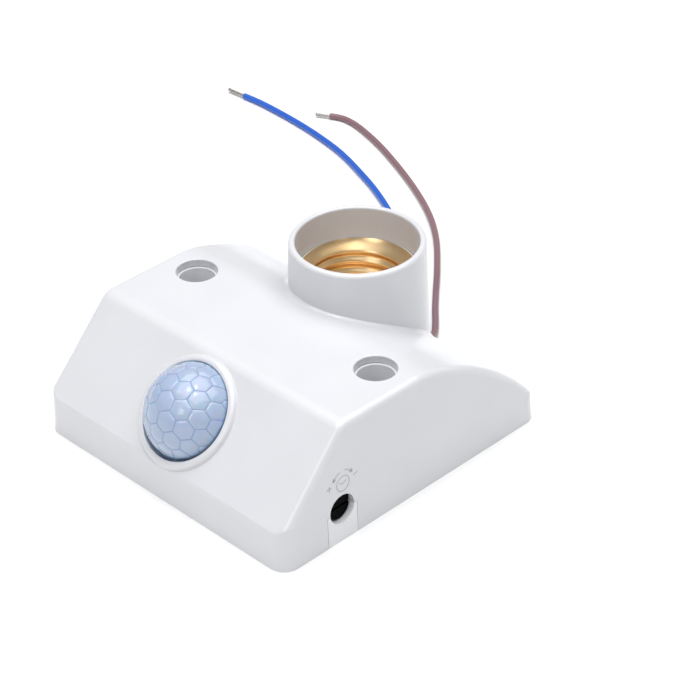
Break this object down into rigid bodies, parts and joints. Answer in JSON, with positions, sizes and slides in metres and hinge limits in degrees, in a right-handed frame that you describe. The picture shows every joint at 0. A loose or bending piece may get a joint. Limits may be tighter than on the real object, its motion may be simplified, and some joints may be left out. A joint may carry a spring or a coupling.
{
  "type": "motion sensor lamp holder",
  "caption": "White lamp holder with an infrared motion sensor behind a faceted dome lens, a brass screw socket in a round collar and two loose supply leads.",
  "frame": {"origin": "middle of the base on the surface that the holder is fixed to", "axes": "+X across the front from left to right, +Y from the lens side to the socket side, +Z out of the base along the socket's axis"},
  "size_m": [0.193, 0.1724, 0.045],
  "materials": {
    "white_plastic": "moulded, satin gloss",
    "cover_plastic": "moulded, fine matt",
    "plated_steel": "bright zinc plate",
    "lens_plastic": "milky translucent moulding",
    "brass": "rolled brass sheet",
    "insulator_ceramic": "dull glaze",
    "board": "green solder mask",
    "dark_glass": "polished infrared filter",
    "photocell": "clear coated",
    "chip_plastic": "matt moulding compound",
    "relay_plastic": "moulded case",
    "capacitor_plastic": "boxed film capacitor",
    "can_sleeve": "shrink sleeve",
    "varistor_coat": "dipped coat",
    "resistor_coat": "lacquered",
    "trimmer_plastic": "moulded",
    "rotor_plastic": "moulded",
    "tail_insulation": "soft insulation",
    "wire_insulation": "soft insulation",
    "blue_insulation": "soft insulation",
    "brown_insulation": "soft insulation",
    "copper_strands": "tinned strands"
  },
  "bodies": {
    "holder": {"housing": "white_plastic", "back_cover": "cover_plastic", "cover_screws": "plated_steel", "fresnel_lens": "lens_plastic", "lens_retainer": "cover_plastic", "screw_shell": "brass", "socket_insulator": "insulator_ceramic", "contact_rivet": "brass", "shell_rivets": "brass", "socket_terminals": "brass", "circuit_board": "board", "board_screws": "plated_steel", "pir_sensor": "plated_steel", "sensor_window": "dark_glass", "light_sensor": "photocell", "control_chip": "chip_plastic", "relay": "relay_plastic", "film_capacitor": "capacitor_plastic", "electrolytic_capacitors": "can_sleeve", "varistor": "varistor_coat", "diodes": "chip_plastic", "resistors": "resistor_coat", "regulator": "chip_plastic", "time_trimmer": "trimmer_plastic", "lux_trimmer": "trimmer_plastic", "lead_clamp": "cover_plastic", "clamp_screws": "plated_steel", "lead_tails": "tail_insulation", "socket_wires": "wire_insulation", "blue_lead": "blue_insulation", "brown_lead": "brown_insulation", "blue_lead_end": "copper_strands", "brown_lead_end": "copper_strands"},
    "time_adjuster": {"time_rotor": "rotor_plastic"},
    "lux_adjuster": {"lux_rotor": "rotor_plastic"},
    "socket_contact": {"centre_contact": "brass"}
  },
  "joints": [
    {"name": "time_adjuster_turn", "type": "hinge", "parent": "holder", "child": "time_adjuster", "pos_m": [0.0385, -0.026, 0.0094], "axis": [1, 0, 0], "range_deg": [-120, 120]},
    {"name": "lux_adjuster_turn", "type": "hinge", "parent": "holder", "child": "lux_adjuster", "pos_m": [-0.0385, -0.026, 0.0094], "axis": [-1, 0, 0], "range_deg": [-120, 120]},
    {"name": "contact_flex", "type": "hinge", "parent": "holder", "child": "socket_contact", "pos_m": [-0.0055, 0.025, 0.0141], "axis": [0, 1, 0], "range_deg": [0, 4.5], "stiffness_Nm_per_rad": 0.05}
  ]
}
